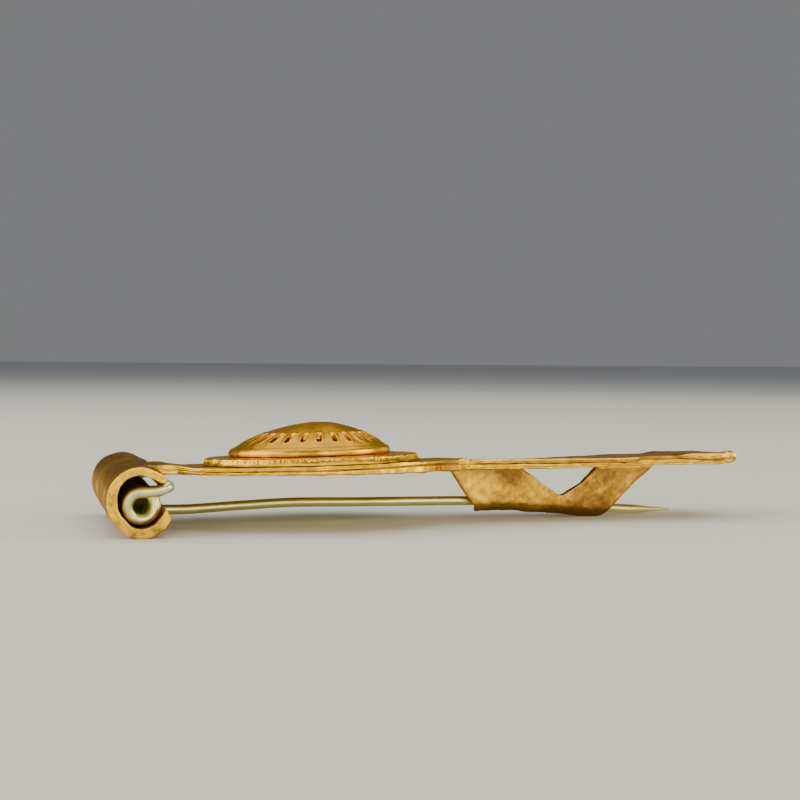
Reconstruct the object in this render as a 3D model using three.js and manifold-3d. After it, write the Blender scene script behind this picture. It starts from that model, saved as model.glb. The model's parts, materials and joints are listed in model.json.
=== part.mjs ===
// A thistle brooch (fibula): a modern brass copy of a Roman pattern, with a sprung steel pin.
// Millimetres, +Z up. It lies as it does on a table, on its spring case and its catch,
// with the head at -X and the foot at +X. The origin is on the table, under the middle.
// A "station" is a distance along the brooch from the axis of the spring.
import * as THREE from "three";
import { mergeVertices } from "three/addons/utils/BufferGeometryUtils.js";
import Module from "manifold-3d";

// Spring case: a thick sheet curled round the spring, open towards the foot.
const CASE_LENGTH = 24;
const CASE_R = 3.6;
const CASE_Z = 3.55; // a little under the radius, so that it rests on a narrow flat
const CASE_WALL = 0.94;
const CASE_WALL_SWING = 0.135; // thinner over the crest, thicker underneath
const UPPER_LIP_DEG = 49;
const LOWER_LIP_OUTER_DEG = 330;
const LOWER_LIP_INNER_DEG = 346; // the lower lip is cut off at a slant
const CASE_SKEW = 0.66; // how much further towards the foot its far end sits
const PIN_NOTCH = { width: 2.2, from: 0.45, low: 1.02, high: 3.6 };

// Bow plate, foot and all that sits on them are a little out of square on the case.
const TWIST_DEG = 2.3;
const TWIST_Z = 6.4;
const PLATE_CENTRE = 18.95;
const PLATE_HALF_LENGTH = 16;
const PLATE_HALF_WIDTH = 11.5;
const NECK_HALF_WIDTH = 4.0;
const NECK_FLARE = 2.5;
const NECK_END = 4.0;
const WAIST_HALF_WIDTH = 2.6;
const PLATE_START = 0.8;
const CASE_INSIDE_CLEAR = 1.92; // short of this station the neck stays out of the hollow case
const PLATE_LOW = 5.6;
const NECK_LOW = 6.25; // inside the case, where the neck runs on into the case's wall
const PLATE_TOP = { head: 6.3, foot: 6.82 };
const PLATE_SLOPE = { from: 8, to: 30 };
const EDGE_BEVEL = 0.14;

// Rosette: a stepped disc with a pierced hollow dome on it, tilted with the plate.
const DISC = { centre: 19.85, r: 11.95, rise: 0.7, crown: 0.8, tiltDeg: 1.3 };
const DOME = { r: 8.92, height: 3.56, wall: 0.55, drop: 0.0375, apexShift: 0.95, setback: 0.2 };
const SLOTS = { count: 26, r: 6.5, length: 1.95, width: 0.58, first: 0.11 };

// Foot: two layers, the upper one with a roll along its end that is thick at one corner.
const FOOT_START = 36.15;
const FOOT_END = 67.4;
const FOOT_HALF_WIDTH = 5.6;
const FOOT_LOW = { head: 5.76, foot: 6.05, from: 46, to: 60 };
const FOOT_WARP = { drop: 0.36, from: 44, to: 57 };
const SHOULDER = { from: 35.3, to: 36.4, top: 6.96 }; // the waist widens here, in a raised bead
const SEAM = { z: 6.42, rise: 0.28, at: 60.4, spread: 2.3 };
const OVERLAY = { start: 36.45, end: 68.3, endFar: 69.0 };
const OVERLAY_TOP = { z: 6.88, lift: 0.15, ridge: 0.27, ridgeAt: 62.3 };
const ROLL = { nearR: 0.75, farR: 0.55, middleR: 0.46, z: 6.87, spread: 1.7 };
const ROLL_BULB = { stretch: 0.25, forward: 0.2 }; // the near corner's roll is longer than high

// Catch: a sheet under the foot, notched by a V and curled round under the pin.
const CATCH = { y: -1.15, thick: 0.9, thin: 0.3, reach: 1.0, curl: 1.15, lip: 2.0, top: 6.2 };
const CATCH_FALL = { head: 0.86, from: 42, to: 53.2, swell: 0.12, swellAt: 49, swellSpread: 1.8 };
const CATCH_SINK = 0.04; // the curl is cut off flat this far up, where it meets the table
// Side outlines, station and height from corner to corner.
const CATCH_OUTLINE = [
  [35.55, 7.2], [35.55, 5.7], [40.0, -1], [53.2, -1], [54.1, 0.1], [57.9, 3.9], [60.4, 5.9],
  [60.4, 7.2],
];
const CATCH_V = [
  [43.9, 5.8], [48.35, 2.76], [48.8, 2.62], [49.3, 2.78], [51.35, 4.0], [53.2, 5.8],
];
const LIP_CUT = [[34.5, -1], [41.5, -1], [43, 7.2], [34.5, 7.2]];
const LIP_CUT_FROM_Y = -0.4; // the curl's free lip starts further along than the sheet

// Spring and pin: one steel wire in the real thing.
const SPRING = { r: 1.42, wire: 0.6, x: 0.1, z: 3.18, inner: 1.3, outer: 11, turns: 7.5 };
const CHORD = { x: 2.8, z: 4.9, bend: 1.1, endLift: 0.15 };
const PIN_R = { root: 0.58, shank: 0.53, catch: 0.53, tip: 0.1 };
const PIN_TIP = 63.1;
const PIN_POINT_START = 58.5;

const GAP = 0.05; // between pieces that are fastened on one another
const STEEL_SIDES = 8;

const BRASS = { color: 0xb48a3c, roughness: 0.38, metalness: 1 };
const BROWNED_BRASS = { color: 0x9a7034, roughness: 0.42, metalness: 1 };
const BRIGHT_BRASS = { color: 0xc49a45, roughness: 0.33, metalness: 1 };
const STEEL = { color: 0x8f8d74, roughness: 0.4, metalness: 1 };

const wasm = await Module();
wasm.setup();

const radians = THREE.MathUtils.degToRad;
const mix = THREE.MathUtils.lerp;
const ease = (x, low, high) => THREE.MathUtils.smoothstep(x, low, high);
const ramp = (x, low, high) => THREE.MathUtils.clamp((x - low) / (high - low), 0, 1);
const bump = (x, at, spread) => Math.exp(-(((x - at) / spread) ** 2));
const steps = (from, to, count) =>
  Array.from({ length: count + 1 }, (_, i) => mix(from, to, i / count));

// ---------------------------------------------------------------- solids

/** The solid of a closed geometry, its shared corners merged. */
function solid(geometry) {
  const bare = geometry.index ? geometry.clone() : geometry;
  bare.deleteAttribute("normal");
  bare.deleteAttribute("uv");
  const merged = mergeVertices(bare, 1e-4);
  return new wasm.Manifold(
    new wasm.Mesh({
      numProp: 3,
      vertProperties: new Float32Array(merged.attributes.position.array),
      triVerts: new Uint32Array(merged.index.array),
    }),
  );
}

/** The geometry of a solid. */
function geometry(made) {
  const mesh = made.getMesh();
  const out = new THREE.BufferGeometry();
  out.setAttribute("position", new THREE.BufferAttribute(mesh.vertProperties, 3));
  out.setIndex(new THREE.BufferAttribute(mesh.triVerts, 1));
  out.computeVertexNormals();
  return out;
}

/** Six times the volume that triangles enclose, negative where they face inwards. */
function signedVolume(positions, index) {
  const corner = (i) => new THREE.Vector3().fromArray(positions, 3 * i);
  let sum = 0;
  for (let i = 0; i < index.length; i += 3)
    sum += corner(index[i]).dot(corner(index[i + 1]).cross(corner(index[i + 2])));
  return sum;
}

/** A closed skin over a row of sections: section(t) gives its outline, place(t, p) a point. */
function loft(stations, section, place) {
  const rings = stations.map(section);
  if (THREE.ShapeUtils.isClockWise(rings[0])) rings.forEach((ring) => ring.reverse());
  const corners = rings[0].length;
  const positions = rings.flatMap((ring, i) => ring.flatMap((p) => place(stations[i], p)));
  const index = [];
  for (let i = 0; i + 1 < rings.length; i++)
    for (let j = 0; j < corners; j++) {
      const a = i * corners + j;
      const b = i * corners + ((j + 1) % corners);
      index.push(a, b, b + corners, a, b + corners, a + corners);
    }
  const last = (rings.length - 1) * corners;
  for (const [a, b, c] of THREE.ShapeUtils.triangulateShape(rings[0], []))
    index.push(c, b, a);
  for (const [a, b, c] of THREE.ShapeUtils.triangulateShape(rings.at(-1), []))
    index.push(last + a, last + b, last + c);
  if (signedVolume(positions, index) < 0) index.reverse();
  const out = new THREE.BufferGeometry();
  out.setAttribute("position", new THREE.Float32BufferAttribute(positions, 3));
  out.setIndex(index);
  return out;
}

const alongBrooch = (x, p) => [x, p.x, p.y];
const acrossBrooch = (y, p) => [p.x, y, p.y];

/** A side view's outline, as a slab across the brooch. */
function sideSlab(points, halfWidth) {
  const outline = () => points.map(([x, z]) => new THREE.Vector2(x, z));
  return loft([-halfWidth, halfWidth], outline, acrossBrooch);
}

/** A bevelled strip's section, across the brooch. */
function stripSection(halfWidth, low, top) {
  const b = EDGE_BEVEL;
  return [
    [-halfWidth, low + b],
    [-halfWidth + b, low],
    [halfWidth - b, low],
    [halfWidth, low + b],
    [halfWidth, top - b],
    [halfWidth - b, top],
    [-halfWidth + b, top],
    [-halfWidth, top - b],
  ].map(([y, z]) => new THREE.Vector2(y, z));
}

/** The frame of the bow: turned by the twist about a line just inside the plate. */
function bowMatrix() {
  return new THREE.Matrix4()
    .makeTranslation(0, 0, TWIST_Z)
    .multiply(new THREE.Matrix4().makeRotationX(-radians(TWIST_DEG)))
    .multiply(new THREE.Matrix4().makeTranslation(0, 0, -TWIST_Z));
}

// ---------------------------------------------------------------- spring case

/** The case's outer radius: round, with two places hammered flatter. */
function caseRadius(deg) {
  return CASE_R - 0.2 * bump(deg, 226, 20) - 0.16 * bump(deg, 62, 15);
}

/** How far the case and the spring in it lean towards the foot, across the brooch. */
function skew(y) {
  return (CASE_SKEW * (1 + (2 * y) / CASE_LENGTH)) / 2;
}

/** The curled sheet seen from its end, from the upper lip round the back to the lower lip. */
function caseSection() {
  const wall = (deg) => CASE_WALL - CASE_WALL_SWING * Math.sin(radians(deg));
  const at = (r, deg) =>
    new THREE.Vector2(
      r * Math.cos(radians(deg)),
      Math.max(CASE_Z + r * Math.sin(radians(deg)), 0),
    );
  const outer = steps(UPPER_LIP_DEG, LOWER_LIP_OUTER_DEG, 36).map((deg) =>
    at(caseRadius(deg), deg),
  );
  const inner = steps(LOWER_LIP_INNER_DEG, UPPER_LIP_DEG, 26).map((deg) =>
    at(caseRadius(deg) - wall(deg), deg),
  );
  const tipR = wall(UPPER_LIP_DEG) / 2;
  const middle = at(caseRadius(UPPER_LIP_DEG) - tipR, UPPER_LIP_DEG);
  const tip = [-45, 0, 45].map((turn) => {
    const a = radians(UPPER_LIP_DEG - 90 + turn);
    return new THREE.Vector2(middle.x + tipR * Math.cos(a), middle.y + tipR * Math.sin(a));
  });
  return [...outer, ...inner, ...tip];
}

function springCase() {
  const half = CASE_LENGTH / 2;
  return solid(loft([-half, half], caseSection, (y, p) => [p.x + skew(y), y, p.y]));
}

/** The way that the pin takes out through the lower lip. */
function pinNotch() {
  const n = PIN_NOTCH;
  const end = 2 * CASE_R;
  return solid(
    sideSlab([[n.from, n.low], [end, n.low], [end, n.high], [n.from, n.high]], n.width / 2),
  );
}

// ---------------------------------------------------------------- bow plate and foot

/** Half the plate's width: an oval between a flared neck at the case and a waist. */
function plateHalfWidth(x) {
  const t = (x - PLATE_CENTRE) / PLATE_HALF_LENGTH;
  const oval = Math.abs(t) < 1 ? PLATE_HALF_WIDTH * Math.sqrt(1 - t * t) : 0;
  const flare = NECK_FLARE * Math.max(0, (NECK_END - x) / (NECK_END - PLATE_START)) ** 2;
  const neck = x < PLATE_CENTRE ? NECK_HALF_WIDTH + flare : WAIST_HALF_WIDTH;
  return Math.max(oval, neck);
}

const plateLow = (x) => (x < CASE_INSIDE_CLEAR ? NECK_LOW : PLATE_LOW);

/** The plate's top: straight under the disc, sweeping up on to the case at the head. */
function plateTop(x) {
  const t = ramp(x, PLATE_SLOPE.from, PLATE_SLOPE.to);
  const sweep = 0.55 * Math.exp(-(x - PLATE_START) / 1.6);
  return mix(PLATE_TOP.head, PLATE_TOP.foot, t) + sweep;
}

function bowPlate() {
  const clear = CASE_INSIDE_CLEAR;
  const stations = [
    ...steps(PLATE_START, clear - 0.02, 3),
    ...steps(clear, NECK_END, 3),
    ...steps(NECK_END + 0.6, 33.4, 26),
    ...steps(33.9, FOOT_START - GAP, 4),
  ];
  const section = (x) => stripSection(plateHalfWidth(x), plateLow(x), plateTop(x));
  return solid(loft(stations, section, alongBrooch).applyMatrix4(bowMatrix()));
}

const footLow = (x) => mix(FOOT_LOW.head, FOOT_LOW.foot, ease(x, FOOT_LOW.from, FOOT_LOW.to));
const seam = (x) => SEAM.z + SEAM.rise * bump(x, SEAM.at, SEAM.spread);

/** How far the foot's far side hangs below its near edge, which dies out along it. */
function warp(x, y) {
  const share = 1 - ease(x, FOOT_WARP.from, FOOT_WARP.to);
  return (FOOT_WARP.drop * share * (1 + y / FOOT_HALF_WIDTH)) / 2;
}

/** The foot's lower layer, cast in one with the plate: it starts as a tongue from the waist. */
function footBase() {
  const { from, to, top } = SHOULDER;
  const halfWidth = (x) => mix(WAIST_HALF_WIDTH, FOOT_HALF_WIDTH - 0.05, ease(x, from, to));
  const section = (x) => stripSection(halfWidth(x), footLow(x), x < to ? top : seam(x) - GAP);
  const stations = [...steps(from, to - 0.02, 5), ...steps(to, FOOT_END, 20)];
  const place = (x, p) => [x, p.x, p.y - warp(x, p.x)];
  return solid(loft(stations, section, place).applyMatrix4(bowMatrix()));
}

/** The foot's applied upper layer: its top lifts to a low ridge, then ends in the roll. */
function footOverlay() {
  const { z, lift, ridge, ridgeAt } = OVERLAY_TOP;
  const top = (x) => z + lift * ease(x, 54, 59) + ridge * ease(x, ridgeAt - 1.2, ridgeAt + 0.8);
  const section = (x) => stripSection(FOOT_HALF_WIDTH, seam(x), top(x));
  const slant = (x, y) =>
    ((OVERLAY.endFar - OVERLAY.end) / 2) *
    ease(x, FOOT_START + 20, OVERLAY.end) *
    (1 + y / FOOT_HALF_WIDTH);
  const place = (x, p) => [x + slant(x, p.x), p.x, p.y - warp(x, p.x)];
  const strip = loft(steps(OVERLAY.start, OVERLAY.end, 26), section, place);
  const under = (x) => stripSection(FOOT_HALF_WIDTH + 1, footLow(x) - 1, seam(x));
  const room = loft(steps(FOOT_END - 4, FOOT_END + GAP, 4), under, alongBrooch);
  return solid(strip).add(endRoll()).subtract(solid(room));
}

/** The roll along the overlay's end: thick at the near corner, thinner at the far one. */
function endRoll() {
  const half = FOOT_HALF_WIDTH;
  const radius = (y) =>
    ROLL.middleR +
    (ROLL.nearR - ROLL.middleR) * bump(y, -half, ROLL.spread) +
    (ROLL.farR - ROLL.middleR) * bump(y, half, ROLL.spread);
  const section = (y) => {
    const r = radius(y);
    const bulb = bump(y, -half, ROLL.spread);
    const long = r * (1 + ROLL_BULB.stretch * bulb);
    const end = mix(OVERLAY.end, OVERLAY.endFar, (y + half) / (2 * half));
    const x = end - 0.45 + ROLL_BULB.forward * bulb;
    const z = ROLL.z - 0.1 * (1 - bump(y, -half, 2.5 * ROLL.spread));
    return steps(0, 330, 11).map(
      (deg) => new THREE.Vector2(x + long * Math.cos(radians(deg)), z + r * Math.sin(radians(deg))),
    );
  };
  return solid(loft(steps(-half, half, 12), section, acrossBrooch));
}

// ---------------------------------------------------------------- catch

/** The height of the underside of the curl: it comes down to the table near its foot end. */
function catchLow(x) {
  const f = CATCH_FALL;
  const swell = f.swell * bump(x, f.swellAt, f.swellSpread);
  return f.head * (1 - ease(x, f.from, f.to)) + swell - CATCH_SINK;
}

/** The sheet's section: down from the foot, round under the pin and up to a free lip. */
function catchSection(x) {
  const low = catchLow(x);
  const { y, thick, thin, reach, curl, lip, top } = CATCH;
  const bowl = (deg, inset) => {
    const half = deg > 270 ? reach + thin / 2 : thick / 2 - y;
    const a = radians(deg);
    return new THREE.Vector2(
      (half - inset) * Math.cos(a),
      Math.max(low + curl + (curl - inset) * Math.sin(a), 0),
    );
  };
  const arc = steps(186, 354, 9);
  const outer = [
    new THREE.Vector2(y - thick / 2, top),
    new THREE.Vector2(y - thick / 2, low + 1.3 * curl),
    ...arc.map((deg) => bowl(deg, 0)),
    new THREE.Vector2(reach + thin / 2, low + lip),
  ];
  const inner = [
    new THREE.Vector2(y + thick / 2, top),
    new THREE.Vector2(y + thick / 2, low + 2 * curl),
    ...arc.map((deg) => bowl(deg, thin)),
    new THREE.Vector2(reach - thin / 2, low + lip),
  ];
  return [...outer, ...inner.reverse()];
}

/** The catchplate, cut to its side outline: slanting ends, the V and the shorter lip. */
function catchplate() {
  const whole = loft(steps(35.2, 60.8, 20), catchSection, alongBrooch);
  const lipCut = sideSlab(LIP_CUT, CASE_R).translate(0, CASE_R + LIP_CUT_FROM_Y, 0);
  return solid(whole)
    .intersect(solid(sideSlab(CATCH_OUTLINE, CASE_R)))
    .subtract(solid(sideSlab(CATCH_V, CASE_R)))
    .subtract(solid(lipCut));
}

// ---------------------------------------------------------------- disc and dome

/** The disc: a flared foot bevel, a steep upper rim and a top that rises to the dome. */
function disc() {
  const { r, rise, crown } = DISC;
  const profile = [
    [0, 0],
    [r - 0.3, 0],
    [r, 0.08],
    [r - 0.33, 0.34],
    [r - 0.42, 0.42],
    [r - 0.48, rise - 0.06],
    [r - 0.56, rise],
    [DOME.r, crown],
    [0, crown],
  ];
  return new THREE.LatheGeometry(profile.map(([x, z]) => new THREE.Vector2(x, z)), 64)
    .rotateX(Math.PI / 2);
}

/** The dome: a hollow boss with a rounded rim, pierced by a ring of radial slots. */
function dome() {
  const { r, height, wall, drop, apexShift } = DOME;
  const z = (x) => height - drop * x * x;
  const crownR = r - 0.32;
  const outer = [0, 2, 4, 5.6, 7.2, crownR].map((x) => [x, z(x)]);
  const rim = [[r - 0.07, 0.46], [r, 0.26], [r - 0.06, 0.07], [r - 0.2, 0], [r - 0.75, 0]];
  const inner = [r - 0.95, 6.4, 4, 2, 0].map((x) => [x, z(x) - wall]);
  const points = [...outer, ...rim, ...inner].map(([x, y]) => new THREE.Vector2(x, y));
  let shell = solid(
    new THREE.LatheGeometry(points.reverse(), 2 * SLOTS.count).rotateX(Math.PI / 2),
  );
  const bar = new THREE.BoxGeometry(SLOTS.length, SLOTS.width, height);
  for (let i = 0; i < SLOTS.count; i++) {
    const turned = bar.clone().translate(SLOTS.r, 0, z(SLOTS.r));
    turned.rotateZ(((i + SLOTS.first) / SLOTS.count) * 2 * Math.PI);
    shell = shell.subtract(solid(turned));
  }
  const made = geometry(shell);
  const at = made.attributes.position;
  for (let i = 0; i < at.count; i++)
    at.setX(i, at.getX(i) + apexShift * (Math.max(at.getZ(i), 0) / height) ** 2);
  return made;
}

// ---------------------------------------------------------------- spring and pin

/** The spring's wire: out along the near coil, over to the chord, and back by the far coil. */
class SpringPath extends THREE.Curve {
  constructor() {
    super();
    const { r, z, inner, outer, turns } = SPRING;
    const points = [];
    const perTurn = 16;
    const count = turns * perTurn;
    for (let i = 0; i <= count; i++) {
      const a = radians(-90) - (i / perTurn) * 2 * Math.PI;
      const y = mix(inner, outer, i / count);
      points.push(new THREE.Vector3(r * Math.cos(a), -y, z + r * Math.sin(a)));
    }
    const lifted = CHORD.z + CHORD.endLift;
    const underLip = new THREE.Vector3(CHORD.x - 1.1, -outer, CHORD.z - 0.22);
    const bend = new THREE.Vector3(CHORD.x - 0.3, -outer + 0.28, lifted - 0.1);
    const chord = new THREE.Vector3(CHORD.x, -outer + CHORD.bend, lifted);
    const middle = new THREE.Vector3(CHORD.x, -outer / 2, CHORD.z);
    const half = [...points, underLip, bend, chord, middle];
    const other = half.map((p) => new THREE.Vector3(p.x, -p.y, p.z)).reverse();
    const wire = [...half, ...other].map((p) => p.setX(p.x + SPRING.x + skew(p.y)));
    this.wire = new THREE.CatmullRomCurve3(wire, false, "centripetal");
    this.arcLengthDivisions = 1200;
  }
  getPoint(t, target = new THREE.Vector3()) {
    return this.wire.getPoint(t, target);
  }
}

function spring() {
  const section = new THREE.Shape();
  section.absarc(0, 0, SPRING.wire, 0, 2 * Math.PI);
  return new THREE.ExtrudeGeometry(section, {
    steps: 204,
    curveSegments: 3,
    extrudePath: new SpringPath(),
  });
}

/** The pin's centre line: three quarters of a turn round the spring's axis, then the shank. */
function pinLine() {
  const turn = steps(0, 258, 12).map((deg) => {
    const a = radians(deg);
    const x = SPRING.x + skew(0) + SPRING.r * Math.cos(a);
    return new THREE.Vector3(x, 0, SPRING.z + SPRING.r * Math.sin(a));
  });
  const shank = [
    [0.9, 1.74], [5.9, 1.66], [12, 1.97], [18, 2.2], [25, 2.12], [35.7, 2.05],
    [41, 1.94], [46, 1.6], [52, 1.1], [57, 0.76], [PIN_TIP, 0.56],
  ].map(([x, z]) => new THREE.Vector3(x, 0, z));
  return new THREE.CatmullRomCurve3([...turn, ...shank], false, "centripetal");
}

/** The pin's radius: even along the shank, then drawn out to a point. */
function pinRadius(x) {
  const shank = x < 31 ? mix(PIN_R.root, PIN_R.shank, ramp(x, 0, 31))
    : mix(PIN_R.shank, PIN_R.catch, ramp(x, 31, 57));
  return mix(shank, PIN_R.tip, ramp(x, PIN_POINT_START, PIN_TIP) ** 0.9);
}

function pin() {
  const line = pinLine();
  const section = () =>
    steps(0, 360 - 360 / STEEL_SIDES, STEEL_SIDES - 1).map(
      (deg) => new THREE.Vector2(Math.cos(radians(deg)), Math.sin(radians(deg))),
    );
  const across = new THREE.Vector3(0, 1, 0);
  const place = (t, p) => {
    const centre = line.getPoint(t);
    const up = line.getTangent(t).cross(across);
    const r = pinRadius(t < 0.55 ? 0 : centre.x);
    return centre.addScaledVector(across, r * p.x).addScaledVector(up, r * p.y).toArray();
  };
  return loft(steps(0, 1, 66), section, place);
}

// ---------------------------------------------------------------- the brooch

function piece(name, shape, finish) {
  const mesh = new THREE.Mesh(shape, new THREE.MeshStandardMaterial(finish));
  mesh.name = name;
  return mesh;
}

const body = springCase().subtract(pinNotch()).add(bowPlate()).add(footBase()).add(catchplate());

const rosette = new THREE.Group();
const seat = mix(PLATE_TOP.head, PLATE_TOP.foot, ramp(DISC.centre, PLATE_SLOPE.from, PLATE_SLOPE.to));
rosette.position.set(DISC.centre, 0, seat + GAP - TWIST_Z);
rosette.rotation.y = -radians(DISC.tiltDeg);
const boss = piece("dome", dome(), BRIGHT_BRASS);
boss.position.set(-DOME.setback, 0, DISC.crown + GAP);
rosette.add(piece("disc", disc(), BRASS), boss);

const bow = new THREE.Group();
bow.position.z = TWIST_Z;
bow.rotation.x = -radians(TWIST_DEG);
const overlay = piece("foot_overlay", geometry(footOverlay()), BRIGHT_BRASS);
overlay.position.z = -TWIST_Z;
bow.add(rosette, overlay);

const brooch = new THREE.Group();
brooch.add(
  piece("body", geometry(body), BROWNED_BRASS),
  bow,
  piece("spring", spring(), STEEL),
  piece("pin", pin(), STEEL),
);

const box = new THREE.Box3().setFromObject(brooch, true);
brooch.position.set(-(box.min.x + box.max.x) / 2, -(box.min.y + box.max.y) / 2, -box.min.z);

export default brooch;
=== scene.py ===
# %% [markdown]
# # A thistle brooch in brass, with a sprung steel pin
# A brooch of this kind is a clasp and a spring in one. A curled case at the head holds the coils
# of a spring, an oval plate carries a disc and a pierced dome, and a long foot ends in a roll.
# Under the foot a notched sheet is curled round the pin's point.
#
# Every form below is worked out with numpy in millimetres, as a grid of points, and only then
# turned into a mesh. The frame comes first: it says where the axis of the spring lies, and
# everything else is measured along the brooch from there.

# %% Load the frame
import json

import bmesh
import bpy
import numpy as np
from mathutils import Matrix, Vector

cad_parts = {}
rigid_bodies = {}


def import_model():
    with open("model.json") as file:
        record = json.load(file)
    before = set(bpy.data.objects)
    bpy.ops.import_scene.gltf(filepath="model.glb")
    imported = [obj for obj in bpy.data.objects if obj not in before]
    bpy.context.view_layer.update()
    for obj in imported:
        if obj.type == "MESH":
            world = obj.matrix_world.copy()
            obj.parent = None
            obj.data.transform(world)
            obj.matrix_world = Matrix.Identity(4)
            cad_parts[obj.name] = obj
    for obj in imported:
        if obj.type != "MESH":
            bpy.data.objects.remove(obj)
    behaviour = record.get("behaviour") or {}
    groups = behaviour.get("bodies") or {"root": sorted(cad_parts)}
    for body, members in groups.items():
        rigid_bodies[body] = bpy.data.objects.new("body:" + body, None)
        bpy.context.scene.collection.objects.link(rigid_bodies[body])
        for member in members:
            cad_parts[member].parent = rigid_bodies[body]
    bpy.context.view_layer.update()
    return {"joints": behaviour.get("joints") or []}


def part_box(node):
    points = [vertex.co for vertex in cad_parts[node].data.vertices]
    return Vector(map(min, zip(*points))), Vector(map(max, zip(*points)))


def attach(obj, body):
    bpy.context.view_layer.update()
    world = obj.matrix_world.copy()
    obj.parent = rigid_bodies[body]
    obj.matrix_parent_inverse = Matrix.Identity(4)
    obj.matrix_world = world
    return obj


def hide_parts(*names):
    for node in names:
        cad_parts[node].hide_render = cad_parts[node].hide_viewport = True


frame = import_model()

MM = 1000  # millimetres in a metre
PIN_TURN_X = 0.43  # the pin's turn sits this far along from the spring's axis at the near end
AXIS_X = frame["joints"][0]["pos_m"][0] * MM - PIN_TURN_X

# %% [markdown]
# ## Tools for surfaces
# Metal that was cast, hammered and rubbed is never quite flat or straight. It could be sculpted by
# hand, or pushed about by a texture. Here it is added up from a few small curves, because a sum of
# curves can be read, changed, and made again exactly: `ease` goes smoothly from 0 to 1, `bell` is
# a hump, and `waves` is a smooth unevenness in space.

# %% Curves and unevenness
def ease(x, low, high):
    """From 0 at low to 1 at high, as three t squared less two t cubed."""
    t = np.clip((x - low) / (high - low), 0, 1)
    return t * t * (3 - 2 * t)


def bell(x, at, spread):
    """A hump of height 1: e to the power of minus the squared distance in spreads."""
    return np.exp(-(((x - at) / spread) ** 2))


def mix(a, b, t):
    """From a to b by the share t: a, and t times the difference."""
    return a + (b - a) * t


def waves(points, size, seed, count=20):
    """The sum of sines along random directions, each about size from crest to crest."""
    rng = np.random.default_rng(seed)
    ways = rng.normal(size=(count, 3))
    ways /= np.linalg.norm(ways, axis=1, keepdims=True)
    ways *= 2 * np.pi / (size * rng.uniform(0.7, 1.6, (count, 1)))
    return np.sin(points @ ways.T + rng.uniform(0, 2 * np.pi, count)).sum(-1) / np.sqrt(count)


print("one spread from its middle, a bell is", round(float(bell(1, 0, 1)), 3), "high")

# %% [markdown]
# ## From a grid to a mesh
# A form could be pulled out of one of Blender's own shapes. A grid says more exactly what is
# wanted: it has one row of points for each station along a path, and one column for each corner of
# the section, and becomes four-cornered faces. An end is closed by one more row that is squeezed
# to its middle point: the points meet there, and are merged.

# %% Grid to mesh
MERGE, SLIVER = 1e-4, 1e-5  # mm: points closer than the first are one, shorter edges than the second go


def mesh_object(name, points, faces):
    """An object from corner points in millimetres and the numbers of each face's corners."""
    mesh = bpy.data.meshes.new(name)
    mesh.from_pydata(np.asarray(points).tolist(), [], faces)
    made = bpy.data.objects.new(name, mesh)
    bpy.context.scene.collection.objects.link(made)
    return made


def closed(made, flat_sided=False):
    """Merges points that meet, or cuts flat sides into triangles, and turns the faces outwards."""
    work = bmesh.new()
    work.from_mesh(made.data)
    if flat_sided:
        bmesh.ops.triangulate(work, faces=work.faces)
    else:
        bmesh.ops.remove_doubles(work, verts=work.verts, dist=MERGE)
        bmesh.ops.dissolve_degenerate(work, edges=work.edges, dist=SLIVER)
    bmesh.ops.recalc_face_normals(work, faces=work.faces)
    work.to_mesh(made.data)
    work.free()
    return made


def skin(name, grid, close=True):
    """The closed surface over a grid of points, in which each row is a loop."""
    if close:
        first, last = (np.broadcast_to(row.mean(0), row.shape)[None] for row in grid[[0, -1]])
        grid = np.concatenate([first, grid, last])
    rows, cols = grid.shape[:2]
    i = np.arange(rows - 1)[:, None] * cols
    j = np.arange(cols)[None, :]
    k = (j + 1) % cols
    faces = np.stack([i + j, i + k, i + cols + k, i + cols + j], -1).reshape(-1, 4)
    return closed(mesh_object(name, grid.reshape(-1, 3), faces.tolist()))


print("points merge within", MERGE, "mm")

# %% [markdown]
# ## Adding and taking away
# What was cast as one has no seam inside. Shapes could simply run through each other, but their
# inner faces would stay. A Boolean modifier keeps the outer surface alone. The MANIFOLD solver is
# chosen because every shape here is closed, and for closed shapes it is the fastest and surest.

# %% Joining
SOLVER = "MANIFOLD"


def applied(made):
    """Makes an object's modifiers part of its mesh."""
    bpy.context.view_layer.update()
    graph = bpy.context.evaluated_depsgraph_get()
    mesh = bpy.data.meshes.new_from_object(made.evaluated_get(graph))
    old = made.data
    made.modifiers.clear()
    made.data = mesh
    mesh.name = made.name
    bpy.data.meshes.remove(old)
    return made


def joined(made, others, how="UNION"):
    """Adds closed shapes to a closed shape, or takes them away from it."""
    for other in others:
        step = made.modifiers.new(how, "BOOLEAN")
        step.operation, step.solver, step.object = how, SOLVER, other
    applied(made)
    for other in others:
        bpy.data.objects.remove(other)
    return made


print("shapes are joined by the", SOLVER, "solver")

# %% [markdown]
# ## A bar's section
# Most of the brooch is flat bar: the plate, both layers of the foot, even the curled case. Its
# section is a rectangle with rounded edges. A Bevel modifier could round them, but its points would
# crowd or spread as the bar changes its width. So the section is kept as four numbers for each
# corner, and a bar can change its width and thickness and still keep the same rounding.

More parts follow.
